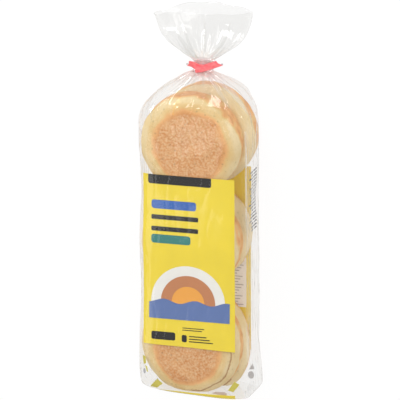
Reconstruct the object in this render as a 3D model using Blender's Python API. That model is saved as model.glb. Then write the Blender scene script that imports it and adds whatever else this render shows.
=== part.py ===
"""A clear film bag of six english muffins, tied shut with a flat red twist tie.

The bag lies on its back with its printed front up. X runs across it, Y from its folded
bottom to its gathered mouth, and Z up from the surface that it lies on.
"""

import math
from collections import namedtuple

import bmesh
import bpy
import numpy as np
from mathutils import Vector

# The muffins lie in three rows, two deep, and give the bag its size.
MUFFIN_DIAMETER = 0.090
MUFFIN_THICKNESS = 0.0295
FILM_SLACK = 0.001
BOTTOM_TO_ROW = 0.047
ROW = [BOTTOM_TO_ROW + row * MUFFIN_DIAMETER for row in range(3)]
WAIST = [(ROW[0] + ROW[1]) / 2, (ROW[1] + ROW[2]) / 2]
DEPTH = 2 * MUFFIN_THICKNESS + FILM_SLACK

# The film is gathered in a flat neck, which lies a little below the middle of the bag.
NECK_ALONG = 0.2935
NECK_ACROSS = 0.005
NECK_HEIGHT = 0.026
NECK_HALF_WIDTH = 0.009
NECK_HALF_DEPTH = 0.0042
NECK_LENGTH = 0.0066
MOUTH_LENGTH = 0.054
MOUTH_HALF_WIDTH = 0.0455
MOUTH_HALF_DEPTH = 0.018

# Lying on a surface flattens the film by this much along the whole underside.
FLATTENED = 0.0012
PLEATS = 16
SLOW_PLEATS = 11
AROUND = 96
STEPS_BETWEEN = 3

# Inside the mouth the bag is open down to where its pleats close up.
MOUTH_WALL = 0.0009
MOUTH_FLOOR = 0.014
MOUTH_RINGS = 7

# The twist tie is a flat ribbon round the neck, with two tails in front.
GAP = 0.0003
RIBBON_WIDTH = 0.0056
RIBBON_THICKNESS = 0.0009
TAIL_LEFT = 0.0125
TAIL_RIGHT = 0.0185
TAIL_RISE = 0.20
TAIL_NOTCH = 0.0013
TAIL_STEPS = 10

Section = namedtuple("Section", "along left right low high squareness pleat")


def neck_section(along, half_width, half_depth, squareness, pleat, sag=0.0):
    """A section centred on the neck, as in the gathered parts of the film."""
    height = NECK_HEIGHT - sag
    return Section(
        along,
        NECK_ACROSS - half_width,
        NECK_ACROSS + half_width,
        height - half_depth,
        height + half_depth,
        squareness,
        pleat,
    )


def bag_sections():
    """The bag's outline, from its bottom edge to the rim of its mouth."""
    neck_start = NECK_ALONG - NECK_LENGTH / 2
    neck_end = NECK_ALONG + NECK_LENGTH / 2
    mouth = NECK_ALONG + MOUTH_LENGTH
    return [
        Section(0.0000, -0.0395, 0.0490, 0.0070, DEPTH - 0.0080, 3.0, 0),
        Section(0.0015, -0.0440, 0.0545, 0.0020, DEPTH - 0.0030, 4.0, 0),
        Section(0.0060, -0.0465, 0.0575, -FLATTENED, DEPTH, 5.0, 0),
        Section(0.0200, -0.0470, 0.0575, -FLATTENED, DEPTH, 5.0, 0),
        Section(ROW[0], -0.0465, 0.0545, -FLATTENED, DEPTH, 5.5, 0),
        Section(WAIST[0], -0.0450, 0.0520, -FLATTENED, DEPTH - 0.0015, 5.0, 0),
        Section(ROW[1], -0.0465, 0.0515, -FLATTENED, DEPTH, 5.5, 0),
        Section(WAIST[1], -0.0450, 0.0510, -FLATTENED, DEPTH - 0.0015, 5.0, 0),
        Section(ROW[2], -0.0475, 0.0520, -FLATTENED, DEPTH, 5.5, 0),
        Section(0.2430, -0.0485, 0.0520, -FLATTENED, DEPTH - 0.0005, 4.6, 0.0002),
        Section(0.2540, -0.0440, 0.0510, -FLATTENED, DEPTH - 0.0020, 3.8, 0.0006),
        Section(0.2650, -0.0395, 0.0460, 0.0025, 0.0540, 3.0, 0.0014),
        Section(0.2750, -0.0270, 0.0375, 0.0085, 0.0460, 2.5, 0.0020),
        Section(0.2840, -0.0140, 0.0250, 0.0155, 0.0370, 2.2, 0.0016),
        neck_section(neck_start, NECK_HALF_WIDTH, NECK_HALF_DEPTH, 2.0, 0),
        neck_section(neck_end, NECK_HALF_WIDTH, NECK_HALF_DEPTH, 2.0, 0),
        neck_section(0.3040, 0.0180, 0.0078, 2.0, 0.0012),
        neck_section(0.3150, 0.0330, 0.0125, 1.9, 0.0024),
        neck_section(0.3260, 0.0405, 0.0155, 1.8, 0.0030, 0.0005),
        neck_section(mouth, MOUTH_HALF_WIDTH, MOUTH_HALF_DEPTH, 1.7, 0.0034, 0.001),
    ]


def smooth_between(places, values, where):
    """A curve through the values that never swings past them."""
    steps = np.diff(places)
    slopes = np.diff(values) / steps
    tangents = np.zeros(len(values))
    for i in range(1, len(slopes)):
        before, after = slopes[i - 1], slopes[i]
        if before * after > 0:
            tangents[i] = 2 * before * after / (before + after)
    i = int(np.clip(np.searchsorted(places, where) - 1, 0, len(steps) - 1))
    t = (where - places[i]) / steps[i]
    return (
        (2 * t**3 - 3 * t**2 + 1) * values[i]
        + (t**3 - 2 * t**2 + t) * steps[i] * tangents[i]
        + (3 * t**2 - 2 * t**3) * values[i + 1]
        + (t**3 - t**2) * steps[i] * tangents[i + 1]
    )


def section_at(sections, along):
    places = np.array([s.along for s in sections])
    fields = [smooth_between(places, np.array(f), along) for f in list(zip(*sections))[1:]]
    return Section(along, *fields)


def ring(section, inset=0.0):
    """Points round one section, evenly spaced, with its pleats and its flat underside."""
    turn = np.linspace(0, 2 * math.pi, 721)
    power = 2 / section.squareness
    across = np.sign(np.cos(turn)) * np.abs(np.cos(turn)) ** power
    up = np.sign(np.sin(turn)) * np.abs(np.sin(turn)) ** power
    across = (section.left + section.right + (section.right - section.left) * across) / 2
    up = (section.low + section.high + (section.high - section.low) * up) / 2
    run = np.concatenate([[0], np.cumsum(np.hypot(np.diff(across), np.diff(up)))])
    share = np.arange(AROUND) / AROUND
    x = np.interp(share * run[-1], run, across)
    z = np.interp(share * run[-1], run, up)
    along_x = np.roll(x, -1) - np.roll(x, 1)
    along_z = np.roll(z, -1) - np.roll(z, 1)
    length = np.hypot(along_x, along_z)
    wave = np.cos(2 * math.pi * PLEATS * share) + 0.6 * np.cos(2 * math.pi * SLOW_PLEATS * share + 1.3)
    out = section.pleat * wave / 1.6 - inset
    x = x + out * along_z / length
    z = np.maximum(z - out * along_x / length, 0.0)
    return [Vector((px, section.along, pz)) for px, pz in zip(x, z)]


def bag_rings():
    sections = bag_sections()
    rings = []
    for here, after in zip(sections, sections[1:]):
        for step in range(STEPS_BETWEEN if after.along - here.along > 0.008 else 1):
            along = here.along + (after.along - here.along) * step / STEPS_BETWEEN
            rings.append(ring(section_at(sections, along)))
    rings.append(ring(sections[-1]))
    mouth = sections[-1].along
    depth = MOUTH_LENGTH - MOUTH_FLOOR
    for step in range(MOUTH_RINGS):
        along = mouth - depth * step / (MOUTH_RINGS - 1)
        rings.append(ring(section_at(sections, along), MOUTH_WALL))
    return rings


def add_rings(mesh, rings):
    """Walls between neighbouring rings, and a face over the first and the last."""
    rows = [[mesh.verts.new(point) for point in points] for points in rings]
    for lower, upper in zip(rows, rows[1:]):
        for i, start in enumerate(lower):
            j = (i + 1) % len(lower)
            mesh.faces.new((start, lower[j], upper[j], upper[i]))
    mesh.faces.new(rows[0])
    mesh.faces.new(reversed(rows[-1]))


def new_object(name, mesh, colour, roughness, alpha=1.0):
    bmesh.ops.recalc_face_normals(mesh, faces=mesh.faces)
    data = bpy.data.meshes.new(name)
    mesh.to_mesh(data)
    mesh.free()
    data.shade_smooth()
    data.set_sharp_from_angle(angle=math.radians(40))
    material = bpy.data.materials.new(name + "_finish")
    material.use_nodes = True
    shader = material.node_tree.nodes["Principled BSDF"]
    shader.inputs["Base Color"].default_value = (*colour, 1)
    shader.inputs["Roughness"].default_value = roughness
    shader.inputs["Alpha"].default_value = alpha
    data.materials.append(material)
    obj = bpy.data.objects.new(name, data)
    bpy.context.scene.collection.objects.link(obj)
    return obj


def ellipse(half_width, half_depth, count, along):
    return [
        Vector((
            NECK_ACROSS + half_width * math.cos(2 * math.pi * i / count),
            along,
            NECK_HEIGHT + half_depth * math.sin(2 * math.pi * i / count),
        ))
        for i in range(count)
    ]


def tie_band():
    """The ribbon's turn round the neck, a short flat tube."""
    mesh = bmesh.new()
    count = 40
    ends = (NECK_ALONG - RIBBON_WIDTH / 2, NECK_ALONG + RIBBON_WIDTH / 2)
    inner = (NECK_HALF_WIDTH + GAP, NECK_HALF_DEPTH + GAP)
    outer = (inner[0] + RIBBON_THICKNESS, inner[1] + RIBBON_THICKNESS)
    loops = [
        ellipse(*outer, count, ends[0]),
        ellipse(*outer, count, ends[1]),
        ellipse(*inner, count, ends[1]),
        ellipse(*inner, count, ends[0]),
    ]
    rows = [[mesh.verts.new(point) for point in loop] for loop in loops]
    for here, after in zip(rows, rows[1:] + rows[:1]):
        for i in range(count):
            j = (i + 1) % count
            mesh.faces.new((here[i], here[j], after[j], after[i]))
    return new_object("tie", mesh, (0.80, 0.12, 0.15), 0.45)


def tie_tails():
    """The ribbon's two tails, one strip across the band, with a notch in each end."""
    mesh = bmesh.new()
    top = NECK_HEIGHT + NECK_HALF_DEPTH + GAP + RIBBON_THICKNESS
    columns = []
    for step in range(TAIL_STEPS + 1):
        x = -TAIL_LEFT + (TAIL_LEFT + TAIL_RIGHT) * step / TAIL_STEPS
        rise = TAIL_RISE * math.sqrt(x * x + 0.002**2)
        notch = {0: TAIL_NOTCH, TAIL_STEPS: -TAIL_NOTCH}.get(step, 0.0)
        low = top - RIBBON_THICKNESS / 2 + 0.03 * abs(x)
        loop = [
            (x, -RIBBON_WIDTH / 2, low),
            (x + notch, 0.0, low),
            (x, RIBBON_WIDTH / 2, low),
            (x, RIBBON_WIDTH / 2, low + RIBBON_THICKNESS),
            (x + notch, 0.0, low + RIBBON_THICKNESS),
            (x, -RIBBON_WIDTH / 2, low + RIBBON_THICKNESS),
        ]
        columns.append([Vector((NECK_ACROSS + px, NECK_ALONG + rise + py, pz)) for px, py, pz in loop])
    rows = [[mesh.verts.new(point) for point in column] for column in columns]
    for here, after in zip(rows, rows[1:]):
        for i in range(6):
            j = (i + 1) % 6
            mesh.faces.new((here[i], after[i], after[j], here[j]))
    for row in (rows[0], rows[-1]):
        mesh.faces.new((row[0], row[1], row[4], row[5]))
        mesh.faces.new((row[1], row[2], row[3], row[4]))
    return new_object("tie_tails", mesh, (0.80, 0.12, 0.15), 0.45)


def join(body, added):
    """Fuses added into body and removes it."""
    union = body.modifiers.new("union", "BOOLEAN")
    union.operation = "UNION"
    union.object = added
    bpy.context.view_layer.objects.active = body
    bpy.ops.object.modifier_apply(modifier=union.name)
    bpy.data.objects.remove(added)


def centre_on_origin(objects):
    """Puts the middle of the underside of all objects' common box at the origin."""
    points = np.array([v.co for obj in objects for v in obj.data.vertices])
    middle = (points.min(axis=0) + points.max(axis=0)) / 2
    for obj in objects:
        for vertex in obj.data.vertices:
            vertex.co.x -= middle[0]
            vertex.co.y -= middle[1]


for existing in list(bpy.data.objects):
    bpy.data.objects.remove(existing)

bag_mesh = bmesh.new()
add_rings(bag_mesh, bag_rings())
bag = new_object("bag", bag_mesh, (0.93, 0.78, 0.22), 0.2, 0.6)

tie = tie_band()
join(tie, tie_tails())

centre_on_origin([bag, tie])
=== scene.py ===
"""Six english muffins in a clear film bag, gathered and shut with a red twist tie.

The bag lies on its back with its printed front up, +Y towards its gathered mouth.
"""

import math
import random
from collections import namedtuple

import bmesh
import bpy
import numpy as np
from mathutils import Matrix, Vector, noise


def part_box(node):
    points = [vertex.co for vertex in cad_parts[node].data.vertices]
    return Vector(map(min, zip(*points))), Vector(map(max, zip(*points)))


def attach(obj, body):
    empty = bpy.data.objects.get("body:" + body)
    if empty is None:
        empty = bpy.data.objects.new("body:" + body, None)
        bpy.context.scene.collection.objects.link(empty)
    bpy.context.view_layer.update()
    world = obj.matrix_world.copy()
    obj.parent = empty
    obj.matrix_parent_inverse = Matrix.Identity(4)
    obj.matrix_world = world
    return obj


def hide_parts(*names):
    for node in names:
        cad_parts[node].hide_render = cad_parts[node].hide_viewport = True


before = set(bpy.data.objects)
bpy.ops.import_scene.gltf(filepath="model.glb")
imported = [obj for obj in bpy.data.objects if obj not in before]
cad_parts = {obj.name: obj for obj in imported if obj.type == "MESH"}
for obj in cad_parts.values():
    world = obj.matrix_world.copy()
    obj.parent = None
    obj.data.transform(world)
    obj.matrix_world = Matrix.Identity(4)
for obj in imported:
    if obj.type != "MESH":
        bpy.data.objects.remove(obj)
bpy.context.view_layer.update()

bag_low, bag_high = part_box("bag")
bpy.ops.object.select_all(action="DESELECT")

# English muffins
# Rounds of yeast dough baked on a griddle and turned once. Both faces are browned flat, the
# face that was up last less widely, and the side between them stays pale with an orange tan
# towards the base. They lie in three rows, two deep, touching at their rims.
MM = 0.001
AXIS = bag_high.x - 57.5 * MM
BOTTOM = bag_low.y
MUFFIN_RADIUS = 45 * MM
FIRST_ROW, ROW_PITCH = 47 * MM, 90 * MM
ROWS = {name: BOTTOM + FIRST_ROW + row * ROW_PITCH for row, name in enumerate(("bottom", "middle", "top"))}
FACE_HALF = 14.9 * MM
BASE_HALF = 14.1 * MM
FILM_UNDER = 0.5 * MM
LOWER_LAYER = FILM_UNDER + BASE_HALF
UPPER_LAYER = LOWER_LAYER + FACE_HALF + BASE_HALF
# Powers of the section's curves: a round shoulder round the face, and nearly a corner at the base.
FACE_SOFTNESS = 3.6
BASE_SOFTNESS = 8.0
FACE_FLAT = 0.93
MUFFIN_SEGMENTS = 180
MUFFIN_RINGS = 96

# across and along: off the row's middle, in millimetres. face: the browned face's share of the
# radius, and face_off its own middle. tan: how high the side is browned, in millimetres from the
# middle of its height, and tan_drop how much less at the lower right. sag: how far it bulges
# towards the bottom of the bag, as a share of its radius, where it is also split. turn: in degrees.
Muffin = namedtuple("Muffin", "name across along height size face face_off tan tan_drop sag turn seed")
MUFFINS = [
    Muffin("muffin_lower_bottom", -2.6, -7.0, LOWER_LAYER, 0.985, 0.76, (0, 0), -8.0, 0.0, 0.20, 40, 11),
    Muffin("muffin_lower_middle", -0.5, 0.0, LOWER_LAYER, 0.995, 0.78, (0, 0), -9.0, 0.0, 0.0, 150, 12),
    Muffin("muffin_lower_top", 6.0, 1.2, LOWER_LAYER, 1.000, 0.74, (0, 0), 1.0, 0.0, 0.0, 260, 13),
    Muffin("muffin_upper_bottom", 0.0, -3.4, UPPER_LAYER, 0.990, 0.74, (1.5, -4.0), 0.0, 0.0, 0.05, 10, 14),
    Muffin("muffin_upper_middle", -0.5, 0.0, UPPER_LAYER, 0.985, 0.77, (0, 0), 4.5, 0.0, 0.0, 200, 15),
    Muffin("muffin_upper_top", -0.5, 0.0, UPPER_LAYER, 1.000, 0.77, (2.4, 0.5), 6.5, 11.0, 0.0, 90, 16),
]

# Directions from a muffin's middle to the lower right of the bag, in degrees clockwise from +X.
SAG_TOWARDS = 61
SHORT_TOWARDS = 38
DROP_TOWARDS = 50
SPLIT_TOWARDS = 45
# In millimetres: how far the split is from where there is none, how near a muffin lies to the bag's
# bottom, how softly it is flattened there, and how far up it that is felt.
NO_SPLIT_NEAR = 60
BOTTOM_GAP, PRESS_SOFTNESS, PRESS_REACH = 0.8, 0.9, 12


def bottom_line(x):
    """How far up the bag its folded bottom lies, in millimetres: it drops a little towards the right."""
    return 1.6 - 0.052 * (x + 38)


def linear(colour):
    """An sRGB hex colour as the linear RGBA that shaders take."""
    parts = [int(colour[i : i + 2], 16) / 255 for i in (1, 3, 5)]
    return (*[c / 12.92 if c <= 0.04045 else ((c + 0.055) / 1.055) ** 2.4 for c in parts], 1)


def add(tree, kind, sockets=(), stops=(), **settings):
    """Adds a node with its settings, and fills its sockets with values or links."""
    node = tree.nodes.new(kind)
    for name, value in settings.items():
        setattr(node, name, value)
    for name, value in dict(sockets).items():
        if isinstance(value, bpy.types.NodeSocket):
            tree.links.new(value, node.inputs[name])
        else:
            node.inputs[name].default_value = value
    for i, (place, colour) in enumerate(stops):
        ends = node.color_ramp.elements
        stop = ends[i] if i < 2 else ends.new(place)
        stop.position, stop.color = place, linear(colour)
    return node


def new_material(name):
    """An empty material with its output, ready for nodes."""
    material = bpy.data.materials.new(name)
    material.use_nodes = True
    material.node_tree.nodes.clear()
    output = material.node_tree.nodes.new("ShaderNodeOutputMaterial")
    return material, material.node_tree, output.inputs["Surface"]


def per_mm(size):
    """A noise scale whose features are about this many millimetres across."""
    return 1000 / size


def griddled_bread():
    """Baked wheat dough: matt and porous, cream where pale, orange at the face's edge and floury on it."""
    material, tree, surface = new_material("griddled_bread")
    place = add(tree, "ShaderNodeTexCoord").outputs["Object"]
    # This attribute is browning, plus a faint ring of painted shade just outside the browned face.
    browning = add(tree, "ShaderNodeAttribute", attribute_name="browning").outputs["Fac"]
    # Pale crumb turns brown in patches, as the dough touched the griddle unevenly.
    patches = add(
        tree, "ShaderNodeTexNoise", {"Vector": place, "Scale": per_mm(9), "Detail": 4, "Roughness": 0.65},
    )
    blotch = add(
        tree, "ShaderNodeMath", {0: patches.outputs["Fac"], 1: 1.3, 2: 0.36}, operation="MULTIPLY_ADD",
    )
    toned = add(tree, "ShaderNodeMath", {0: browning, 1: blotch.outputs[0]}, operation="MULTIPLY")
    crust = add(
        tree, "ShaderNodeValToRGB", {"Fac": toned.outputs[0]},
        stops=(
            (0.02, "#EFDAAF"), (1.0, "#C07A40"), (0.16, "#EACB92"), (0.34, "#EFB87E"), (0.58, "#DE9F65"),
            (0.80, "#D58D4A"),
        ),
    )
    broad = add(tree, "ShaderNodeTexNoise", {"Vector": place, "Scale": per_mm(20), "Detail": 3})
    cream = add(
        tree, "ShaderNodeValToRGB", {"Fac": broad.outputs["Fac"]},
        stops=((0.36, "#FDFBF2"), (0.64, "#ECDFBA")),
    )
    tinted = add(
        tree, "ShaderNodeMix", {"Factor": 0.6, 6: crust.outputs["Color"], 7: cream.outputs["Color"]},
        data_type="RGBA", blend_type="MULTIPLY",
    )
    # Flour lies on the flat face, thinner where that is darkest.
    flour = add(
        tree, "ShaderNodeTexNoise", {"Vector": place, "Scale": per_mm(1.9), "Detail": 4, "Roughness": 0.65},
    )
    dust = add(tree, "ShaderNodeMapRange", {"Value": flour.outputs["Fac"], 1: 0.41, 2: 0.66, 3: 0.0, 4: 0.68})
    flat_face = add(tree, "ShaderNodeMapRange", {"Value": browning, 1: 0.50, 2: 0.60, 3: 0.0, 4: 1.0})
    sparse = add(tree, "ShaderNodeMapRange", {"Value": browning, 1: 0.62, 2: 0.76, 3: 1.0, 4: 0.35})
    dusted = add(tree, "ShaderNodeMath", {0: dust.outputs[0], 1: sparse.outputs[0]}, operation="MULTIPLY")
    on_brown = add(
        tree, "ShaderNodeMath", {0: dusted.outputs[0], 1: flat_face.outputs[0]}, operation="MULTIPLY",
    )
    floured = add(
        tree, "ShaderNodeMix", {"Factor": on_brown.outputs[0], 6: tinted.outputs[2], 7: linear("#F0D3A8")},
        data_type="RGBA",
    )
    # Fine pores all over, and a few dark specks where larger bubbles burst, both darkened as painted shade in
    # their hollows.
    pores = add(tree, "ShaderNodeTexVoronoi", {"Vector": place, "Scale": per_mm(2.1), "Randomness": 1})
    holes = add(
        tree, "ShaderNodeMapRange", {"Value": pores.outputs["Distance"], 1: 0.10, 2: 0.34, 3: 0.80, 4: 1.0},
    )
    pores_shaded = add(
        tree, "ShaderNodeMix", {"Factor": 0.65, 6: floured.outputs[2], 7: holes.outputs[0]},
        data_type="RGBA", blend_type="MULTIPLY",
    )
    bubbles = add(tree, "ShaderNodeTexVoronoi", {"Vector": place, "Scale": per_mm(6.5), "Randomness": 1})
    crater_shade = add(
        tree, "ShaderNodeMapRange", {"Value": bubbles.outputs["Distance"], 1: 0.06, 2: 0.17, 3: 0.66, 4: 1.0},
    )
    craters_shaded = add(
        tree, "ShaderNodeMix", {"Factor": 0.75, 6: pores_shaded.outputs[2], 7: crater_shade.outputs[0]},
        data_type="RGBA", blend_type="MULTIPLY",
    )
    # The split, a ragged brown line within a millimetre of where from_split passes nought: painted shade of a
    # crack that the shape does not open.
    grain = add(
        tree, "ShaderNodeTexNoise", {"Vector": place, "Scale": per_mm(1.5), "Detail": 3, "Roughness": 0.7},
    )
    split = add(tree, "ShaderNodeAttribute", attribute_name="from_split").outputs["Fac"]
    ragged = add(
        tree, "ShaderNodeMath", {0: grain.outputs["Fac"], 1: 1.8, 2: split}, operation="MULTIPLY_ADD",
    )
    away_from = add(tree, "ShaderNodeMath", {0: ragged.outputs[0], 1: 0.90}, operation="SUBTRACT")
    gap = add(tree, "ShaderNodeMath", {0: away_from.outputs[0]}, operation="ABSOLUTE")
    closed = add(tree, "ShaderNodeMapRange", {"Value": gap.outputs[0], 1: 0.12, 2: 0.90, 3: 0.0, 4: 1.0})
    split_shade_painted = add(
        tree, "ShaderNodeMix",
        {"Factor": closed.outputs[0], 6: linear("#B08252"), 7: craters_shaded.outputs[2]}, data_type="RGBA",
    )
    height = add(
        tree, "ShaderNodeMath", {0: grain.outputs["Fac"], 1: 0.9, 2: holes.outputs[0]},
        operation="MULTIPLY_ADD",
    )
    bump = add(tree, "ShaderNodeBump", {"Strength": 0.6, "Distance": 0.4 * MM, "Height": height.outputs[0]})
    dough = add(
        tree, "ShaderNodeBsdfPrincipled",
        {
            "Base Color": split_shade_painted.outputs[2], "Roughness": 0.85, "Specular IOR Level": 0.2,
            "Normal": bump.outputs[0],
        },
    )
    tree.links.new(dough.outputs[0], surface)
    return material


def smooth_step(low, high, value):
    """From 0 below low to 1 above high, starting and ending softly."""
    t = min(max((value - low) / (high - low), 0.0), 1.0)
    return t * t * (3 - 2 * t)


def hump(value, middle, width):
    """A smooth hump, 1 high at its middle."""
    return math.exp(-(((value - middle) / width) ** 2))


def muffin_section():
    """Half a muffin's section, from the middle of its face over the rim to the middle of its base."""
    points = []
    steps = 720
    for i in range(steps + 1):
        angle = math.pi / 2 - math.pi * i / steps
        half = FACE_HALF / FACE_FLAT if angle > 0 else BASE_HALF
        power = 2 / (FACE_SOFTNESS if angle > 0 else BASE_SOFTNESS)
        out = MUFFIN_RADIUS * abs(math.cos(angle)) ** power
        up = math.copysign(half * abs(math.sin(angle)) ** power, angle)
        points.append((out, min(up, FACE_HALF + 0.04 * (up - FACE_HALF))))
    points = np.array(points)
    run = np.concatenate([[0], np.cumsum(np.hypot(*np.diff(points, axis=0).T))])
    places = np.linspace(0, run[-1], MUFFIN_RINGS)
    return np.interp(places, run, points[:, 0]), np.interp(places, run, points[:, 1])


def turned(name, out, up):
    """A closed round from half of its section, turned round the Z axis."""
    mesh = bpy.data.meshes.new(name)
    mesh.from_pydata([(x, 0, z) for x, z in zip(out, up)], [(i, i + 1) for i in range(len(out) - 1)], [])
    obj = bpy.data.objects.new(name, mesh)
    bpy.context.scene.collection.objects.link(obj)
    bpy.context.view_layer.objects.active = obj
    bpy.ops.object.mode_set(mode="EDIT")
    bpy.ops.mesh.select_all(action="SELECT")
    bpy.ops.mesh.spin(steps=MUFFIN_SEGMENTS, angle=2 * math.pi, center=(0, 0, 0), axis=(0, 0, 1))
    bpy.ops.mesh.select_all(action="SELECT")
    bpy.ops.mesh.remove_doubles(threshold=1e-6)
    bpy.ops.mesh.normals_make_consistent(inside=False)
    bpy.ops.object.mode_set(mode="OBJECT")
    return obj


# A place on a muffin: in millimetres from its middle, as a share of its radius, its direction as an
# angle in the bag and as a vector on the muffin, whether it lies above the middle of the height,
# how far it is outside the browned face's edge, and how uneven that is here, as shares of the radius.
Spot = namedtuple("Spot", "at share here around upper off_edge edge_noise")


def spot_on(muffin, co, away, face_middle):
    """What the shape and the baking need to know about one place on a muffin."""
    at = co / MM
    angle = math.atan2(co.y, co.x)
    here = angle + math.radians(muffin.turn)
    edge_noise = 0.040 * noise.noise(at / 13 + away) + 0.014 * noise.noise(at / 4 - away)
    short = 0.10 * max(0.0, math.cos(here + math.radians(SHORT_TOWARDS))) ** 2 if muffin.sag > 0 else 0.0
    edge = muffin.face + edge_noise - short
    off = (Vector((co.x, co.y, 0)) - face_middle).length / MUFFIN_RADIUS
    around = Vector((math.cos(angle), math.sin(angle), 0))
    return Spot(at, math.hypot(co.x, co.y) / MUFFIN_RADIUS, here, around, co.z > 0, off - edge, edge_noise)


def spread(muffin, spot, away):
    """How much wider than a true round the muffin is here, as a share."""
    wobble = 0.024 * noise.noise(1.1 * spot.around + away) + 0.010 * noise.noise(3.1 * spot.around - away)
    return wobble + muffin.sag * max(0.0, math.cos(spot.here + math.radians(SAG_TOWARDS))) ** 3


def relief(spot, away):
    """How far the surface stands out here, in millimetres: swellings, wrinkles and the face's raised lip."""
    swell = 0.50 * noise.noise(spot.at / 16 + away) + 0.34 * noise.noise(spot.at / 6.5 - away)
    off_face = smooth_step(0.70, 0.80, spot.share) if spot.upper else 1.0
    side = smooth_step(0.86, 0.96, spot.share)
    creases = noise.noise(Vector((spot.at.x / 7, spot.at.y / 7, spot.at.z / 1.9)) + away)
    wrinkle = 0.16 * noise.noise(spot.at / 2.4 + 2 * away) + 0.26 * side * creases
    lip = 0.45 * hump(spot.off_edge, 0.10, 0.055) if spot.upper else 0.0
    return swell * (0.35 + 0.65 * off_face) + wrinkle * (0.5 + 0.5 * off_face) + lip


def browning_and_shade_at(muffin, spot, away):
    """How browned it is here, from 0 to 1: the griddled face, a faint ring of painted shade just outside it,
    the base and the lower side.
    """
    drop = muffin.tan_drop * smooth_step(0.15, 0.85, math.cos(spot.here + math.radians(DROP_TOWARDS)))
    tan_noise = 4.5 * noise.noise(2.3 * spot.around + 3 * away) + 55 * spot.edge_noise
    tan_line = muffin.tan - drop + tan_noise
    patchy = 0.36 + 0.34 * noise.noise(spot.at / 6 + 5 * away)
    side = smooth_step(0.86, 0.96, spot.share)
    on_side = patchy * (1 - smooth_step(tan_line - 3, tan_line + 3, spot.at.z)) * side
    if not spot.upper:
        return max(on_side, 0.7 * (1 - smooth_step(0.93, 0.98, spot.share)) if spot.at.z < 0 else 0.0)
    blur = 0.085 * (1 + 1.3 * noise.noise(1.7 * spot.around + 6 * away))
    on_face = 1 - smooth_step(-0.09 - blur, 0.05 + blur, spot.off_edge)
    ring_noise = 0.5 + 0.9 * noise.noise(spot.at / 14 + 4 * away)
    ring = 0.60 + 0.16 * ring_noise * hump(spot.off_edge, -0.10, 0.09)
    # The last term is no browning: a faint ring of painted shade just outside the face's edge, under its
    # raised lip.
    return max(ring * on_face, on_side, 0.13 * hump(spot.off_edge, 0.07, 0.05))


def from_split(muffin, spot, away):
    """How far the split lies from here, in millimetres: it runs round the face of a muffin that has sunk."""
    if muffin.sag == 0 or not spot.upper:
        return 2 * NO_SPLIT_NEAR
    split_at = 0.915 + 0.035 * noise.noise(4.0 * spot.around + away) - 0.03 * math.cos(spot.here)
    split_at += 0.016 * noise.noise(17.0 * spot.around - away)
    off = (spot.share - split_at) * MUFFIN_RADIUS / MM
    whole = 1 - smooth_step(0.55, 0.75, math.cos(spot.here + math.radians(SPLIT_TOWARDS)))
    return off + math.copysign(NO_SPLIT_NEAR * whole, off)


def pressed_on_bottom(place):
    """The place, kept clear of the bag's folded bottom by flattening the muffin on it."""
    stop = BOTTOM + (bottom_line((place.x - AXIS) / MM) + BOTTOM_GAP) * MM
    clear_by = (place.y - stop) / MM
    if clear_by < PRESS_REACH:
        place.y = stop + math.log1p(math.exp(clear_by / PRESS_SOFTNESS)) * PRESS_SOFTNESS * MM
    return place


def bake_muffin(muffin, material):
    """One muffin: a turned round made uneven, with how browned and how near its split each place is."""
    obj = turned(muffin.name, *muffin_section())
    away = Vector((3.7 * muffin.seed, 1.9 * muffin.seed, 0.7 * muffin.seed))
    row = ROWS[muffin.name.split("_")[-1]]
    middle = Vector((AXIS + muffin.across * MM, row + muffin.along * MM, muffin.height))
    to_bag = Matrix.Translation(middle) @ Matrix.Rotation(math.radians(muffin.turn), 4, "Z")
    to_muffin = Matrix.Rotation(math.radians(-muffin.turn), 3, "Z")
    face_middle = to_muffin @ Vector((*muffin.face_off, 0)) * MM
    browned_and_shaded, splits = [], []
    normals = [v.normal.copy() for v in obj.data.vertices]
    for vertex, normal in zip(obj.data.vertices, normals):
        co = vertex.co
        spot = spot_on(muffin, co, away, face_middle)
        browned_and_shaded.append(browning_and_shade_at(muffin, spot, away))
        splits.append(from_split(muffin, spot, away))
        grown = muffin.size * (1 + spread(muffin, spot, away))
        risen = Vector((co.x * grown, co.y * grown, co.z)) + normal * relief(spot, away) * MM
        vertex.co = pressed_on_bottom(to_bag @ risen)
    for name, values in (("browning", browned_and_shaded), ("from_split", splits)):
        attribute = obj.data.attributes.new(name, "FLOAT", "POINT")
        attribute.data.foreach_set("value", values)
    obj.data.materials.append(material)
    obj.data.shade_smooth()
    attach(obj, "root")
    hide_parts("bag")


bread = griddled_bread()
for muffin in MUFFINS:
    bake_muffin(muffin, bread)

# The film bag
# A tube of clear polyethylene film, folded and sealed at the bottom, drawn over the muffins and
# gathered by hand, so that its pleats run from the neck down the shoulder and out to the mouth.
FILM_AROUND = 384
CURVE_STEPS = 1440
# Along the bag, in millimetres: rows of the film up to the gathered part, then close together.
BOTTOM_ROWS = [0.0, 0.5, 1.2, 2.0, 3.0, 4.5, 6.2]
COARSE_FROM, COARSE_STEP = 8.5, 3.0
FINE_FROM, FINE_STEP = 238.0, 1.1
NECK_ALONG = 293.5 * MM
NECK_ACROSS = 5.0 * MM
NECK_HEIGHT = 26.0 * MM
FLAT_PERIMETER = 300 * MM
CAP_RINGS = 10
RIM_LAYERS = 5.0
SEAM_LAYERS = 2.0

Section = namedtuple("Section", "along left right low high squareness")


def neck_section(along, half_width, half_depth, squareness, sag=0.0):
    """A section centred on the neck, in millimetres."""
    across, height = NECK_ACROSS / MM, NECK_HEIGHT / MM - sag
    return Section(
        along, across - half_width, across + half_width, height - half_depth, height + half_depth, squareness,
    )


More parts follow.
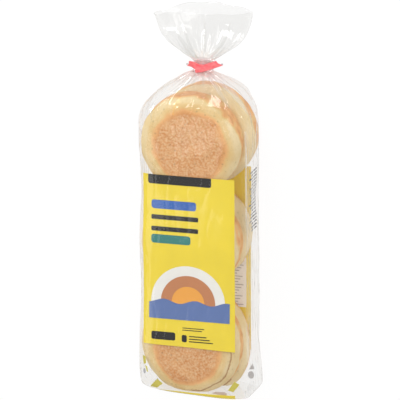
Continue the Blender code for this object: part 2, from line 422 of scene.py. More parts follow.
# In millimetres, from the bag's bottom edge to the rim of its mouth. squareness is the power of the
# section's curve: 2 for an ellipse, and more for a section with flatter sides.
SECTIONS = [
    Section(0.0, -39.5, 51.5, 2.0, 59.0, 4.0),
    Section(1.2, -42.5, 54.2, 0.0, 60.0, 5.0),
    Section(4.0, -45.0, 55.4, -1.2, 60.3, 7.0),
    Section(16.0, -46.5, 54.5, -1.2, 60.3, 8.0),
    Section(28.0, -47.0, 53.0, -1.2, 60.1, 8.0),
    Section(47.0, -46.8, 51.8, -1.2, 60.0, 8.0),
    Section(92.0, -45.0, 52.0, -1.2, 59.2, 8.0),
    Section(137.0, -46.5, 51.5, -1.2, 60.0, 8.0),
    Section(182.0, -45.0, 51.0, -1.2, 59.2, 8.0),
    Section(227.0, -47.5, 52.0, -1.2, 60.0, 7.0),
    Section(243.0, -48.5, 52.0, -1.2, 60.0, 6.0),
    Section(254.0, -46.0, 51.5, -1.2, 59.6, 5.0),
    Section(263.0, -40.5, 48.0, -0.8, 58.6, 4.2),
    Section(269.0, -34.5, 44.5, 0.5, 55.5, 3.6),
    Section(275.0, -26.5, 38.5, 4.0, 49.5, 3.0),
    Section(280.0, -18.5, 31.0, 10.0, 42.5, 2.6),
    Section(285.0, -11.5, 22.5, 16.5, 36.0, 2.3),
    neck_section(290.2, 9.0, 4.2, 2.0),
    neck_section(296.8, 9.0, 4.2, 2.0),
    neck_section(304.0, 18.0, 7.8, 2.0),
    neck_section(315.0, 33.0, 12.5, 1.9),
    neck_section(326.0, 40.5, 15.5, 1.8, 0.5),
    neck_section(347.5, 45.5, 18.0, 1.7, 1.0),
]


def smooth_between(places, values, where):
    """A curve through the values that never swings past them."""
    steps = np.diff(places)
    slopes = np.diff(values) / steps
    tangents = np.zeros(len(values))
    for i in range(1, len(slopes)):
        if slopes[i - 1] * slopes[i] > 0:
            tangents[i] = 2 * slopes[i - 1] * slopes[i] / (slopes[i - 1] + slopes[i])
    i = int(np.clip(np.searchsorted(places, where) - 1, 0, len(steps) - 1))
    t = (where - places[i]) / steps[i]
    return (
        (2 * t**3 - 3 * t**2 + 1) * values[i] + (t**3 - 2 * t**2 + t) * steps[i] * tangents[i]
        + (3 * t**2 - 2 * t**3) * values[i + 1] + (t**3 - t**2) * steps[i] * tangents[i + 1]
    )


SECTION_PLACES = np.array([s.along for s in SECTIONS])
SECTION_FIELDS = [np.array(values) for values in list(zip(*SECTIONS))[1:]]


def section_at(along):
    """The bag's outline at any place along it."""
    return Section(along, *[smooth_between(SECTION_PLACES, field, along) for field in SECTION_FIELDS])


# A fold starts at a share of the way round, as wide as a share, and as deep and long in millimetres.
Fold = namedtuple("Fold", "share width depth reach drift")


def gathered_folds(count, seed, reach):
    """Folds at uneven places round the film, some short and shallow, a few long and deep."""
    draw = random.Random(seed)
    folds = []
    for i in range(count):
        folds.append(Fold(
            (i + draw.uniform(-0.42, 0.42)) / count,
            draw.uniform(0.006, 0.014),
            draw.uniform(0.5, 1.6) * draw.choice((1, 1, -0.6)),
            draw.uniform(*reach),
            draw.uniform(-0.0006, 0.0006),
        ))
    return folds


SHOULDER_FOLDS = gathered_folds(26, 5, (34, 95))
MOUTH_FOLDS = gathered_folds(22, 8, (30, 90))
SHOULDER_LIFT, MOUTH_LIFT = 3.0, 1.3


def fold_heights(shares, along):
    """How far the folds lift the film, in millimetres, at one place along the bag."""
    from_neck = along - NECK_ALONG / MM
    lift = np.zeros_like(shares)
    for fold in MOUTH_FOLDS if from_neck > 0 else SHOULDER_FOLDS:
        far = abs(from_neck)
        if far > fold.reach:
            continue
        rise = smooth_step(2, 14, far) * (1 - smooth_step(0.35 * fold.reach, fold.reach, far))
        off = (shares - fold.share - fold.drift * far + 0.5) % 1.0 - 0.5
        crest = np.exp(-np.abs(off) / fold.width)
        lift += (MOUTH_LIFT if from_neck > 0 else SHOULDER_LIFT) * fold.depth * rise * crest
    return lift - lift.mean()


FilmRow = namedtuple("FilmRow", "x z out_x out_z round")


def film_row(along):
    """Places and outward directions round the film at one place along it, in millimetres."""
    section = section_at(along)
    turn = np.linspace(0, 2 * math.pi, CURVE_STEPS + 1)
    power = 2 / section.squareness
    across = np.sign(np.cos(turn)) * np.abs(np.cos(turn)) ** power
    up = np.sign(np.sin(turn)) * np.abs(np.sin(turn)) ** power
    across = (section.left + section.right + (section.right - section.left) * across) / 2
    up = (section.low + section.high + (section.high - section.low) * up) / 2
    run = np.concatenate([[0], np.cumsum(np.hypot(np.diff(across), np.diff(up)))])
    shares = np.arange(FILM_AROUND) / FILM_AROUND
    x, z = np.interp(shares * run[-1], run, across), np.interp(shares * run[-1], run, up)
    out_x, out_z = np.roll(z, -1) - np.roll(z, 1), np.roll(x, 1) - np.roll(x, -1)
    length = np.hypot(out_x, out_z)
    out_x, out_z = out_x / length, out_z / length
    lift = fold_heights(shares, along)
    # Slack film stands off and creases at the sides, and lies close on the front and the back.
    for i in range(FILM_AROUND):
        spot = Vector((x[i], along, z[i]))
        loose = 1 - 0.75 * smooth_step(0.6, 0.95, abs(out_z[i]))
        slack = 0.55 * noise.noise(spot / 21) + 0.35 * noise.noise(Vector((x[i] / 7, along / 24, z[i] / 7)))
        crinkle = abs(noise.noise(Vector((x[i] / 10 + 5, along / 30, z[i] / 6)) + Vector((0, x[i] / 60, 0))))
        lift[i] += loose * (slack - 7 * max(0.0, 0.10 - crinkle))
    x, z = x + lift * out_x, np.maximum(z + lift * out_z, 0.0)
    return FilmRow(x, z, out_x, out_z, run[-1])


def film_y(x, along):
    """Where a place in a row lies along the bag, in millimetres."""
    near_bottom = 1 - smooth_step(0, 40, along)
    return along + bottom_line(x) * near_bottom


film_rows = {}


def film_row_at(along):
    """The row at a place along the bag, worked out once for each hundredth of a millimetre."""
    along = round(float(along), 2)
    if along not in film_rows:
        film_rows[along] = film_row(along)
    return film_rows[along]


def layers_at(row):
    """How many times the flat film is gathered into this row."""
    return max(FLAT_PERIMETER / MM / row.round, 1.0)


def film_alongs():
    """Rows close together in the gathered film, and wider apart down the bag."""
    end = SECTIONS[-1].along
    coarse = np.arange(COARSE_FROM, FINE_FROM, COARSE_STEP)
    fine = np.linspace(FINE_FROM, end, int((end - FINE_FROM) / FINE_STEP))
    return np.concatenate([BOTTOM_ROWS, coarse, fine])


def rim_waves(shares):
    """How the cut edge of the mouth runs, in millimetres: wavy, low on its left, with one corner up."""
    waves = 0.5 * np.sin(shares * 50) - 2.0 - 8.5 * np.exp(-(((shares - 0.5) / 0.10) ** 2))
    return waves + 2.4 * np.exp(-np.abs(shares - 0.775) / 0.05)


def film_mesh():
    """The film as one sheet: its folded bottom, its tube, and its open mouth."""
    rows, gathers = [], []
    bottom = film_row_at(0)
    middle = bottom.z.mean()
    for ring in range(CAP_RINGS):
        inner = (ring / CAP_RINGS) ** 0.8
        dent = 0.6 * (1 - inner) ** 1.5
        rows.append([
            (px * (0.9 + 0.1 * inner), film_y(px, dent), middle + (pz - middle) * inner)
            for px, pz in zip(bottom.x, bottom.z)
        ])
        gathers.append(SEAM_LAYERS)
    flare_from, rim_at = SECTIONS[-2].along, SECTIONS[-1].along
    rim = rim_waves(np.arange(FILM_AROUND) / FILM_AROUND)
    for along in film_alongs():
        row = film_row_at(along)
        late = max(0.0, (along - flare_from) / (rim_at - flare_from))
        y = [film_y(x, along) for x in row.x] + rim * late**3
        rows.append(list(zip(row.x, y, row.z)))
        gathers.append(RIM_LAYERS if along > rim_at - 1 else layers_at(row))
    shift = Vector((AXIS, BOTTOM, 0))
    points = [Vector(p) * MM + shift for row in rows for p in row]
    faces = []
    for r in range(len(rows) - 1):
        for i in range(FILM_AROUND):
            j = (i + 1) % FILM_AROUND
            a, b = r * FILM_AROUND, (r + 1) * FILM_AROUND
            faces.append((a + i, b + i, b + j, a + j))
    return points, faces, [g for g in gathers for _ in range(FILM_AROUND)]


def clear_film():
    """Polyethylene film: clear, glossy, milkier where it lies in layers, with the red tie's reflection
    painted pink on it beside the tie.
    """
    material, tree, surface = new_material("clear_polyethylene_film")
    layers = add(tree, "ShaderNodeAttribute", attribute_name="layers").outputs["Fac"]
    slant = add(tree, "ShaderNodeLayerWeight", {"Blend": 0.5}).outputs["Facing"]
    steep = add(tree, "ShaderNodeMath", {0: slant, 1: 5.0}, operation="POWER")
    milk = add(tree, "ShaderNodeMath", {0: layers, 1: 0.080, 2: -0.06}, operation="MULTIPLY_ADD")
    veil = add(
        tree, "ShaderNodeMath", {0: steep.outputs[0], 1: 0.36, 2: milk.outputs[0]},
        operation="MULTIPLY_ADD", use_clamp=True,
    )
    mirrors = add(tree, "ShaderNodeMath", {0: layers, 1: 0.045}, operation="MULTIPLY")
    gloss = add(
        tree, "ShaderNodeMath", {0: steep.outputs[0], 1: 0.55, 2: mirrors.outputs[0]},
        operation="MULTIPLY_ADD", use_clamp=True,
    )
    through = add(tree, "ShaderNodeBsdfTransparent", {"Color": (0.948, 0.946, 0.940, 1)})
    # The red tie's reflection, painted as pink into the film's veil near the tie.
    blush = add(tree, "ShaderNodeAttribute", attribute_name="blush").outputs["Fac"]
    veil_with_tie_reflection = add(
        tree, "ShaderNodeMix", {"Factor": blush, 6: linear("#E6E6E3"), 7: linear("#F8BCB8")},
        data_type="RGBA",
    )
    cloudy = add(tree, "ShaderNodeBsdfDiffuse", {"Color": veil_with_tie_reflection.outputs[2]})
    shine = add(tree, "ShaderNodeBsdfGlossy", {"Color": (1, 1, 1, 1), "Roughness": 0.09})
    body = add(tree, "ShaderNodeMixShader", {0: veil.outputs[0], 1: through.outputs[0], 2: cloudy.outputs[0]})
    film = add(tree, "ShaderNodeMixShader", {0: gloss.outputs[0], 1: body.outputs[0], 2: shine.outputs[0]})
    tree.links.new(film.outputs[0], surface)
    return material


def film_object(name, points, faces, layers):
    """A sheet of film, with how many layers lie together and how strongly the tie's painted pink reflection
    shows, at each of its points.
    """
    mesh = bpy.data.meshes.new(name)
    mesh.from_pydata(points, [], faces)
    mesh.attributes.new("layers", "FLOAT", "POINT").data.foreach_set("value", layers)
    from_tie = [(p.y - BOTTOM - NECK_ALONG) / MM for p in points]
    # Painted pink reflection of the tie: strongest 5 mm below it, fading over 8 mm down the shoulder and 3 mm
    # up.
    blush = [0.75 * hump(d, -5, 8 if d < -5 else 3) for d in from_tie]
    mesh.attributes.new("blush", "FLOAT", "POINT").data.foreach_set("value", blush)
    obj = bpy.data.objects.new(name, mesh)
    bpy.context.scene.collection.objects.link(obj)
    return obj


film_bag = film_object("film_bag", *film_mesh())
bpy.context.view_layer.objects.active = film_bag
bpy.ops.object.mode_set(mode="EDIT")
bpy.ops.mesh.select_all(action="SELECT")
bpy.ops.mesh.remove_doubles(threshold=1e-6)
bpy.ops.object.mode_set(mode="OBJECT")
film_finish = clear_film()
film_bag.data.materials.append(film_finish)
film_bag.data.shade_smooth()
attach(film_bag, "root")
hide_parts("bag")

# Pleats of the gathered film
# Where the film is drawn together at the neck it folds over itself, so that narrow doubled
# bands run out from under the tie, down over the shoulder and up into the mouth.
# share: where a pleat starts, as a share of the way round the film from its right side, and drift
# how much further round it ends. start, end, width and lift are in millimetres.
Pleat = namedtuple("Pleat", "share start end width lift drift layers")
SHOULDER_PLEATS, MOUTH_PLEATS = 17, 8
FINE_LAYERS = 1.6
PLEAT_STEPS, PLEAT_ACROSS = 28, 5


def film_place(share, along, lift):
    """The place this far out from the film, in metres, at a share of the way round from its right side."""
    row = film_row_at(along)
    at = (share % 1.0) * FILM_AROUND
    low, part = int(at) % FILM_AROUND, at - int(at)
    after = (low + 1) % FILM_AROUND
    x, z, out_x, out_z = [field[low] * (1 - part) + field[after] * part for field in row[:4]]
    y = film_y(x, along)
    return Vector((AXIS + (x + lift * out_x) * MM, BOTTOM + y * MM, max(z + lift * out_z, 0.0) * MM))


def drawn_pleats():
    """Narrow pleats at uneven places, and a few broad ones over the shoulder and down the right side."""
    draw = random.Random(31)
    neck = NECK_ALONG / MM
    pleats = []
    for i in range(SHOULDER_PLEATS):
        share = 0.01 + 0.49 * (i + draw.uniform(-0.4, 0.4)) / SHOULDER_PLEATS
        end = neck - draw.uniform(8, 16)
        width, lift, drift = draw.uniform(1.8, 4.6), draw.uniform(0.15, 0.5), draw.uniform(-0.02, 0.02)
        pleats.append(Pleat(share, neck - 3, end, width, lift, drift, FINE_LAYERS))
    for i in range(MOUTH_PLEATS):
        share = 0.02 + 0.96 * (i + draw.uniform(-0.4, 0.4)) / MOUTH_PLEATS
        end = neck + draw.uniform(20, 46)
        width, lift, drift = draw.uniform(1.6, 5.0), draw.uniform(0.2, 0.7), draw.uniform(-0.01, 0.01)
        pleats.append(Pleat(share, neck + 3, end, width, lift, drift, FINE_LAYERS))
    pleats.append(Pleat(0.100, neck - 4, 251, 7.0, 0.8, -0.065, 2.4))
    pleats.append(Pleat(0.165, neck - 4, 264, 4.0, 0.7, -0.050, 2.2))
    pleats.append(Pleat(0.330, neck - 4, 268, 3.2, 0.6, 0.030, 2.0))
    pleats.append(Pleat(0.425, neck - 9, 247, 3.4, 0.9, -0.060, 2.8))
    pleats.append(Pleat(0.470, neck - 6, 258, 3.0, 0.6, -0.020, 2.0))
    pleats.append(Pleat(0.075, 244, 128, 6.5, 1.0, -0.015, 1.7))
    return pleats


def pleat_mesh(pleats):
    """Tapered strips on the film, each raised along one of its edges."""
    points, faces, gathers = [], [], []
    for pleat in pleats:
        first = len(points)
        for step in range(PLEAT_STEPS + 1):
            t = step / PLEAT_STEPS
            along = pleat.start + (pleat.end - pleat.start) * t
            wide = pleat.width * math.sin(math.pi * min(1.0, t * 0.92 + 0.08)) ** 0.7
            for across in range(PLEAT_ACROSS + 1):
                u = across / PLEAT_ACROSS
                share = pleat.share + pleat.drift * t + wide * (u - 0.5) / film_row_at(along).round
                rise = 0.15 + pleat.lift * math.sin(math.pi * min(1.0, t + 0.05)) * u**2
                points.append(film_place(share, along, rise))
                gathers.append(0.6 + pleat.layers * (1 - t**3))
        for step in range(PLEAT_STEPS):
            for across in range(PLEAT_ACROSS):
                a = first + step * (PLEAT_ACROSS + 1) + across
                b = a + PLEAT_ACROSS + 1
                faces.append((a, a + 1, b + 1, b))
    return points, faces, gathers


film_pleats = film_object("film_pleats", *pleat_mesh(drawn_pleats()))
film_pleats.data.materials.append(film_finish)
film_pleats.data.shade_smooth()
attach(film_pleats, "root")
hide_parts("bag")

# The printed front
# Yellow ink on the inner side of the film, a tall panel over the two lower rows of muffins with
# plain bars and a simple picture of a sunrise over water, so the film's gloss lies over the ink.
PANEL_LEFT, PANEL_RIGHT = -40.2, 43.8
PANEL_LOW, PANEL_HIGH = 41.0, 200.2
BARS_LEFT = -33.0
INK_STEP = 1.5
# How far under the film each colour lies, in millimetres, the panel furthest, so that none meet.
PANEL_DEPTH, BAR_DEPTH, RING_DEPTH, SUN_DEPTH, WATER_DEPTH = 0.40, 0.28, 0.21, 0.14, 0.07


def under_film(x, y, depth):
    """The place this far under the front film's surface, in metres, for millimetres across and along."""
    row = film_row_at(y)
    top = slice(0, FILM_AROUND // 2)
    order = np.argsort(row.x[top])
    fields = (row.z, row.out_x, row.out_z)
    height, lean_x, lean_z = [np.interp(x, row.x[top][order], field[top][order]) for field in fields]
    across, up = (x - lean_x * depth) * MM, (height - lean_z * depth) * MM
    return Vector((AXIS + across, BOTTOM + film_y(x, y) * MM, up))


def printed_ink(name, colour, specular=0.4):
    """Flexographic ink on film: an even colour with a slight mottle, satin under the film's gloss."""
    material, tree, surface = new_material(name)
    place = add(tree, "ShaderNodeTexCoord").outputs["Object"]
    mottle = add(tree, "ShaderNodeTexNoise", {"Vector": place, "Scale": per_mm(14), "Detail": 3})
    shade = add(
        tree, "ShaderNodeMapRange", {"Value": mottle.outputs["Fac"], 1: 0.3, 2: 0.7, 3: 0.955, 4: 1.0},
    )
    tint = add(
        tree, "ShaderNodeMix", {"Factor": 1.0, 6: linear(colour), 7: shade.outputs[0]},
        data_type="RGBA", blend_type="MULTIPLY",
    )
    ink = add(
        tree, "ShaderNodeBsdfPrincipled",
        {"Base Color": tint.outputs[2], "Roughness": 0.32, "Specular IOR Level": specular},
    )
    tree.links.new(ink.outputs[0], surface)
    return material


def cut_small(mesh, outline, step):
    """Cuts a flat face into small ones, along lines this far apart, so that it can follow the film."""
    for axis in (0, 1):
        normal = Vector((1, 0, 0)) if axis == 0 else Vector((0, 1, 0))
        low = min(point[axis] for point in outline)
        high = max(point[axis] for point in outline)
        cut = math.ceil(low / step) * step
        while cut < high:
            everything = mesh.verts[:] + mesh.edges[:] + mesh.faces[:]
            bmesh.ops.bisect_plane(mesh, geom=everything, plane_co=normal * cut, plane_no=normal)
            cut += step


def lay_ink(name, outlines, material, place, upside_down=False):
    """Printed shapes: flat outlines in millimetres, each put where place says, as one piece."""
    data = bpy.data.meshes.new(name)
    whole = bmesh.new()
    for outline in outlines:
        mesh = bmesh.new()
        mesh.faces.new([mesh.verts.new((x, y, 0)) for x, y in outline])
        cut_small(mesh, outline, INK_STEP)
        mesh.normal_update()
        if (mesh.faces[:][0].normal.z < 0) != upside_down:
            bmesh.ops.reverse_faces(mesh, faces=mesh.faces)
        for vertex in mesh.verts:
            vertex.co = place(vertex.co.x, vertex.co.y)
        mesh.to_mesh(data)
        whole.from_mesh(data)
        mesh.free()
    whole.to_mesh(data)
    whole.free()
    data.materials.append(material)
    data.shade_smooth()
    obj = bpy.data.objects.new(name, data)
    bpy.context.scene.collection.objects.link(obj)
    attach(obj, "root")
    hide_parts("bag")


def front_at(depth):
    """Puts print this far under the front film."""
    return lambda x, y: under_film(x, y, depth)


def rounded_bar(left, low, width, height, corner):
    """The outline of a bar with round corners."""
    points = []
    middle = (left + width / 2, low + height / 2)
    for quarter, (sx, sy) in enumerate(((1, 1), (-1, 1), (-1, -1), (1, -1))):
        for step in range(7):
            angle = math.pi / 2 * (quarter + step / 6)
            x = sx * (width / 2 - corner) + corner * math.cos(angle)
            y = sy * (height / 2 - corner) + corner * math.sin(angle)
            points.append((middle[0] + x, middle[1] + y))
    return points


def arc(middle, radius, start, end, steps=40, squash=1.0):
    """Points on an arc, in degrees, anticlockwise."""
    turns = [math.radians(start + (end - start) * i / steps) for i in range(steps + 1)]
    return [(middle[0] + radius * math.cos(t), middle[1] + squash * radius * math.sin(t)) for t in turns]


YELLOW = printed_ink("yellow_ink", "#F6DC28")
BLACK = printed_ink("black_ink", "#060504", 0.1)
SMALL_PRINT = printed_ink("small_print_ink", "#2C2C32")
PALE_GREY = printed_ink("pale_grey_ink", "#B4B4B8")
BLUE = printed_ink("blue_ink", "#1F62B8")
TEAL = printed_ink("teal_ink", "#1E8078")
WHITE = printed_ink("white_ink", "#F4F2EC")
ORANGE = printed_ink("orange_ink", "#F5AA3C")
TAN = printed_ink("tan_ink", "#C98250")
SLATE = printed_ink("slate_ink", "#5A76B0")
OLIVE = printed_ink("olive_ink", "#CFC24A")
MAUVE = printed_ink("mauve_ink", "#C9B2A2")
# A lighter copy of the white ink: its extra brightness is painted glow from the light table below, through
# the film.
WHITE_PAINTED_GLOW = printed_ink("bright_white_ink", "#FFFFFF")

# The panel's low edge rises to the left, and its high end leans to the left, as they lie on the film.
panel = [
    (PANEL_LEFT - 0.6, PANEL_LOW + 2.8), (2.5, PANEL_LOW + 2.2), (PANEL_RIGHT, PANEL_LOW + 0.8),
    (PANEL_RIGHT - 1.0, PANEL_HIGH), (PANEL_LEFT - 1.2, PANEL_HIGH),
]
lay_ink("front_panel", [panel], YELLOW, front_at(PANEL_DEPTH))
top_bar = [p for p in rounded_bar(PANEL_LEFT + 4, PANEL_HIGH - 8.6, 58, 12, 2.0) if p[1] < PANEL_HIGH - 6]
top_bar = [(PANEL_LEFT + 62, PANEL_HIGH), (PANEL_LEFT + 4, PANEL_HIGH)] + top_bar
thin_bars = [rounded_bar(BARS_LEFT, low, 43, 4.2, 1.0) for low in (159.2, 148.6)]
low_bars = [rounded_bar(BARS_LEFT, 48.5, 22, 7.4, 1.6), rounded_bar(-5.0, 47.8, 4.6, 6.6, 1.4)]
small_lines = [rounded_bar(1.7, 48.2 + 2.4 * row, 22 - 3 * row, 0.9, 0.3) for row in range(3)]
small_lines += [rounded_bar(-4.5, 60.5 - 2.0 * row, 20 - 2 * row, 0.7, 0.3) for row in range(2)]
lay_ink("front_dark_bars", [top_bar] + thin_bars + low_bars + small_lines, BLACK, front_at(BAR_DEPTH))
lay_ink("front_heading_bar", [rounded_bar(BARS_LEFT, 169.0, 41, 8.0, 2.4)], BLUE, front_at(BAR_DEPTH))
lay_ink("front_subheading_bar", [rounded_bar(BARS_LEFT, 137.5, 36, 8.0, 2.4)], TEAL, front_at(BAR_DEPTH))

# The sun's discs reach a little below the shore, under the water, by an angle in degrees.
SUN = (0.6, 84.0)
BELOW_SHORE = 9
half_turn = (-BELOW_SHORE, 180 + BELOW_SHORE)
lay_ink("picture_glow", [arc(SUN, 34, *half_turn)], WHITE, front_at(BAR_DEPTH))
lay_ink("picture_ring", [arc(SUN, 25, *half_turn)], TAN, front_at(RING_DEPTH))
lay_ink("picture_sun", [arc(SUN, 15, *half_turn)], ORANGE, front_at(SUN_DEPTH))
water_left, water_right, water_low = PANEL_LEFT + 5, PANEL_RIGHT - 5, 68.0
shore = [(x, SUN[1] + 0.5 + 1.8 * math.sin(x / 4.6)) for x in np.linspace(water_right, water_left, 60)]
water = [(water_left, water_low), (water_right, water_low)] + shore
lay_ink("picture_water", [water], SLATE, front_at(WATER_DEPTH))

# The back and the folded bottom
# Ink on the rest of the film: a second yellow panel under the muffins with a white field of fine
# lines, small marks in the clear corners, a yellow edge along the folded bottom, and short lines
# up the right side. What lies behind the film's folds is printed deeper.
BACK_LEFT, BACK_RIGHT = -40.0, 41.8
BACK_LOW, BACK_HIGH = 27.0, 196.5
SIDE_FROM, SIDE_STEP, SIDE_ROWS = 146, 3.0, 19
SIDE_MIDDLE = 29.4
CORNER_DEPTH, FOLD_DEPTH, EDGE_DEPTH = 2.2, 1.2, 0.30


def back_at(height):
    """Puts print on the back, this far above what the bag lies on."""
    return lambda x, y: Vector((AXIS + x * MM, BOTTOM + y * MM, height * MM))


def side_at(up, along):
    """Puts print just under the film of the right side, turned to run up it."""
    row = film_row_at(along)
    return film_place((up - SIDE_MIDDLE) / row.round, along, -0.2)


def box_outline(left, low, right, high):
    """The outline of a square-cornered field."""
    return [(left, low), (right, low), (right, high), (left, high)]


back_field = box_outline(BACK_LEFT, BACK_LOW, BACK_RIGHT, BACK_HIGH)
lay_ink("back_panel", [back_field], YELLOW, back_at(0.22), True)
# The white field, in the lighter copy of white ink that paints in the glow from below.
lay_ink("back_table", [box_outline(10, 66, 37.5, 112)], WHITE_PAINTED_GLOW, back_at(0.28), True)
table_lines = [rounded_bar(12, 68 + 2.6 * row, 23 - (row * 5) % 7, 0.7, 0.25) for row in range(17)]
lay_ink("back_table_lines", table_lines, PALE_GREY, back_at(0.33), True)
dot = arc((42.0, 3.5), 2.8, 0, 360, 30, 1.25)[:-1]
corner = [(40.0, 8.5), (45.0, 9.0), (43.5, 14.5)]
lay_ink("back_marks", [dot, corner], PALE_GREY, back_at(0.22), True)
draw = random.Random(4)
side_lines = []
for row in range(SIDE_ROWS):
    at = SIDE_FROM + SIDE_STEP * row
    split = draw.uniform(24, 29)
    side_lines.append(rounded_bar(15.5, at, split - 17.0, 1.5, 0.3))
    side_lines.append(rounded_bar(split, at, draw.uniform(6, 10), 1.5, 0.3))
lay_ink("side_lines", side_lines, SMALL_PRINT, side_at)
edge = [(-36, 0.3), (44, 0.3), (44, 4.6), (14, 2.6), (-36, 0.9)]
lay_ink("bottom_edge", [edge], YELLOW, front_at(EDGE_DEPTH))
corners = [
    [(-36, 1.5), (-29, 1.5), (-23, 6.5), (-28, 10.5)],
    [(-43.5, 31.5), (-39.5, 30.5), (-39, 24), (-42, 22.5)],
    [(-40.5, 22), (-38, 21), (-37, 15.5), (-38.5, 16)],
    [(37, 8), (42, 7), (48, 14), (43, 16)],
]
lay_ink("corner_print", corners, OLIVE, front_at(CORNER_DEPTH))
on_fold = [(22, 3.8), (35, 3.3), (37, 5.2), (34, 6.4), (26, 5.8)]
lay_ink("fold_print", [on_fold], MAUVE, front_at(FOLD_DEPTH))
mark = arc((-41.3, 16.0), 1.6, 0, 360, 30, 1.7)[:-1]
lay_ink("corner_mark", [mark], PALE_GREY, front_at(CORNER_DEPTH))

# The twist tie
# A flat ribbon of red plastic with a thin iron wire in its middle, wound once round the neck and
# twisted in front, so that its two cut ends stand out to either side, one over the other.
RIBBON_WIDTH = 6.0
RIBBON_THICKNESS = 0.55
LOOP_ACROSS, LOOP_HIGH, LOOP_WIDE = 9.7, 4.9, 4.4
WIRE_RADIUS, WIRE_RIDGE = 0.35, 0.28
WIRE_SHOWN = 1.6
NECK = Vector((AXIS + NECK_ACROSS, BOTTOM + NECK_ALONG, NECK_HEIGHT))


def ribbon_plastic():
    """Extruded polypropylene ribbon: red, satin, a little lighter in random patches."""
    material, tree, surface = new_material("red_ribbon_plastic")
    place = add(tree, "ShaderNodeTexCoord").outputs["Object"]
    # Random patches about 3 mm across, some a little lighter red than others.
    creases = add(tree, "ShaderNodeTexNoise", {"Vector": place, "Scale": per_mm(3), "Detail": 3})
    tint = add(
        tree, "ShaderNodeValToRGB", {"Fac": creases.outputs["Fac"]},
        stops=((0.35, "#EC6068"), (0.65, "#F77E80")),
    )
    plastic = add(
        tree, "ShaderNodeBsdfPrincipled",
        {"Base Color": tint.outputs["Color"], "Roughness": 0.42, "Specular IOR Level": 0.4},
    )
    tree.links.new(plastic.outputs[0], surface)
    return material


def iron_wire():
    """Thin iron wire with scraps of ribbon on its cut end: dark maroon and dull."""
    material, tree, surface = new_material("annealed_iron_wire")
    iron = add(
        tree, "ShaderNodeBsdfPrincipled",
        {"Base Color": linear("#7C4B52"), "Roughness": 0.5, "Metallic": 0.3},
    )
    tree.links.new(iron.outputs[0], surface)
    return material


def smooth_path(points, t):
    """A place on a smooth curve through evenly spaced points, t from 0 to 1."""
    span = t * (len(points) - 1)
    i = min(int(span), len(points) - 2)
    u = span - i
    p = [Vector(points[min(max(k, 0), len(points) - 1)]) for k in range(i - 1, i + 3)]
    return 0.5 * (
        2 * p[1] + (p[2] - p[0]) * u + (2 * p[0] - 5 * p[1] + 4 * p[2] - p[3]) * u**2
        + (3 * p[1] - p[0] - 3 * p[2] + p[3]) * u**3
    )


def finish_ribbon(obj, material):
    """Gives a bent sheet its thickness and hands it over as a piece of the tie."""
    bpy.context.view_layer.objects.active = obj
    solid = obj.modifiers.new("thickness", "SOLIDIFY")
    solid.thickness = RIBBON_THICKNESS * MM
    solid.offset = 0
    bpy.ops.object.modifier_apply(modifier=solid.name)
    obj.data.materials.append(material)
    obj.data.shade_smooth()
    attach(obj, "root")
    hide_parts("tie")


def ribbon_tail(name, points, leans, slants, material):
    """A flat tail along a path from the neck's middle, in millimetres, with slanted notched ends.

    leans are how far it is tipped up at its two ends, in degrees, and slants how askew they are cut.
    """
    bpy.ops.mesh.primitive_grid_add(x_subdivisions=48, y_subdivisions=10, size=1)
    obj = bpy.context.object
    obj.name = name
    for vertex in obj.data.vertices:
        t, v = vertex.co.x + 0.5, 2 * vertex.co.y
        lean = math.radians(leans[0] + (leans[1] - leans[0]) * t)
        middle = smooth_path(points, t)
        ahead, behind = smooth_path(points, min(t + 0.02, 1)), smooth_path(points, max(t - 0.02, 0))
        onward = (ahead - behind).normalized()
        flat = Vector((-onward.y, onward.x, 0)).normalized()
        across = flat * math.cos(lean) + Vector((0, 0, 1)) * math.sin(lean)
        away = across.cross(onward) * -1
        slant = slants[0] * (1 - t) ** 6 + slants[1] * t**6
        notch = 0.9 * (1 - abs(v)) * ((1 - t) ** 12 - t**12)
        wire = WIRE_RIDGE * hump(v, 0, 0.16)
        spot = middle + across * v * RIBBON_WIDTH / 2 + onward * (slant * v + notch) + away * wire
        vertex.co = NECK + spot * MM
    finish_ribbon(obj, material)


def wire_tip(name, start, direction, material):
    """The wire's end where it stands out of the ribbon, in millimetres from the neck's middle."""
    start, direction = Vector(start), Vector(direction).normalized()
    bpy.ops.mesh.primitive_cylinder_add(vertices=16, radius=WIRE_RADIUS * MM, depth=WIRE_SHOWN * MM)
    obj = bpy.context.object
    obj.name = name
    turn = direction.to_track_quat("Z", "Y").to_matrix().to_4x4()
    obj.data.transform(Matrix.Translation(NECK + (start + 0.2 * direction) * MM) @ turn)
    obj.data.materials.append(material)
    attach(obj, "root")
    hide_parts("tie")


ribbon_finish, wire_finish = ribbon_plastic(), iron_wire()
bpy.ops.mesh.primitive_cylinder_add(vertices=96, radius=1, depth=1, end_fill_type="NOTHING")
loop = bpy.context.object
loop.name = "tie_loop"
bpy.ops.object.mode_set(mode="EDIT")
bpy.ops.mesh.select_all(action="SELECT")
bpy.ops.mesh.subdivide(number_cuts=5)
bpy.ops.object.mode_set(mode="OBJECT")
for vertex in loop.data.vertices:
    co = vertex.co.copy()
    crumple = 1 + 0.05 * noise.noise(Vector((2 * co.x, 2 * co.y, 3 * co.z)))
    across, up = LOOP_ACROSS * co.x * crumple, LOOP_HIGH * co.y * crumple
    vertex.co = NECK + Vector((across, LOOP_WIDE * co.z + 0.12 * co.x, up)) * MM
finish_ribbon(loop, ribbon_finish)
ribbon_tail(
    "tie_tail_left", [(-12.6, 2.1, 4.0), (-7.6, 1.6, 5.0), (-2.7, -0.1, 5.9), (2.3, -1.5, 5.9)],
    (30, 0), (1.2, 0.0), ribbon_finish,
)
ribbon_tail(
    "tie_tail_right",
    [(-6.6, -2.7, 5.4), (-1.2, -1.5, 6.9), (4.8, 0.4, 6.8), (11.0, 2.6, 5.0), (15.8, 4.3, 3.4)],
    (0, 8), (-1.0, -2.3), ribbon_finish,
)
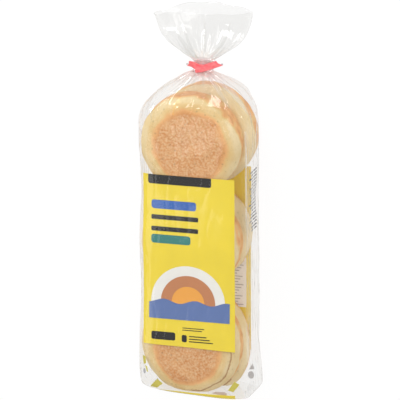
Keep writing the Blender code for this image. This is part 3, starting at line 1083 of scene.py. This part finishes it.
wire_tip("tie_wire_left", (-13.4, 1.5, 4.0), (-1.0, -0.25, 0), wire_finish)
wire_tip("tie_wire_middle", (-6.9, -4.5, 5.4), (-1.0, -0.1, 0), wire_finish)
wire_tip("tie_wire_right", (18.2, 3.6, 3.4), (1.0, 0.05, 0), wire_finish)

# Floor, light and camera
# A plain floor that glows white, as a light table does, with softboxes round the bag. It is seen
# at the photograph's angle through a long lens: from above its front, a little from its right
# side and a little from the side of its mouth.
FLOOR_SIZE, FLOOR_DROP = 6.0, 0.6 * MM
bpy.ops.mesh.primitive_plane_add(size=FLOOR_SIZE, location=(0, 0, -FLOOR_DROP))
floor = bpy.context.object
floor.name = "floor"
material, tree, surface = new_material("light_table_acrylic")
acrylic = add(tree, "ShaderNodeBsdfDiffuse", {"Color": (0.10, 0.10, 0.10, 1)})
glow = add(tree, "ShaderNodeEmission", {"Color": (1, 1, 1, 1), "Strength": 0.91})
table = add(tree, "ShaderNodeAddShader", {0: acrylic.outputs[0], 1: glow.outputs[0]})
tree.links.new(table.outputs[0], surface)
floor.data.materials.append(material)

world = bpy.context.scene.world or bpy.data.worlds.new("studio")
bpy.context.scene.world = world
world.use_nodes = True
world.node_tree.nodes["Background"].inputs["Color"].default_value = (1, 1, 1, 1)
world.node_tree.nodes["Background"].inputs["Strength"].default_value = 0.63


def softbox(name, place, target, size, power):
    """A soft oblong light, with its place and size in metres and its power in watts."""
    light = bpy.data.lights.new(name, "AREA")
    light.shape = "RECTANGLE"
    light.size, light.size_y = size
    light.energy = power
    obj = bpy.data.objects.new(name, light)
    obj.location = place
    obj.rotation_euler = (Vector(target) - Vector(place)).to_track_quat("-Z", "Y").to_euler()
    bpy.context.scene.collection.objects.link(obj)


SHOULDER, MIDDLE = (0, 0.1, 0.03), (0, 0, 0.03)
softbox("left_softbox", (-1.20, 0.62, 0.75), SHOULDER, (0.28, 1.3), 8.5)
softbox("right_softbox", (0.95, 0.80, 0.95), SHOULDER, (0.24, 1.2), 7.0)
softbox("far_softbox", (-0.20, 1.45, 0.80), SHOULDER, (0.18, 1.3), 5.0)
softbox("front_softbox", (-0.70, -0.37, 1.37), MIDDLE, (0.30, 0.80), 0.9)
softbox("overhead_softbox", (0.45, 0.45, 1.45), MIDDLE, (0.9, 0.9), 2.4)

TURN, TILT = math.radians(16.0), math.radians(16.5)
PIXELS_PER_M = 1135.6
FOCAL_PIXELS = 12000
FRAME_PIXELS = 400
SENSOR = 36
FRONT_HEIGHT = 60 * MM
LOOK_AT = Vector((AXIS + 11.9 * MM, BOTTOM + 180.2 * MM, FRONT_HEIGHT))
back = Vector((math.sin(TURN) * math.cos(TILT), math.sin(TILT), math.cos(TURN) * math.cos(TILT)))
right = Vector((math.cos(TURN), 0, -math.sin(TURN)))
up = back.cross(right)
camera_data = bpy.data.cameras.new("camera")
camera_data.sensor_width = SENSOR
camera_data.lens = SENSOR * FOCAL_PIXELS / FRAME_PIXELS
camera_data.clip_end = 40
camera = bpy.data.objects.new("camera", camera_data)
bpy.context.scene.collection.objects.link(camera)
facing = Matrix((right, up, back)).transposed().to_4x4()
camera.matrix_world = Matrix.Translation(LOOK_AT + back * (FOCAL_PIXELS / PIXELS_PER_M)) @ facing
bpy.context.scene.camera = camera
bpy.context.scene.view_settings.view_transform = "Standard"
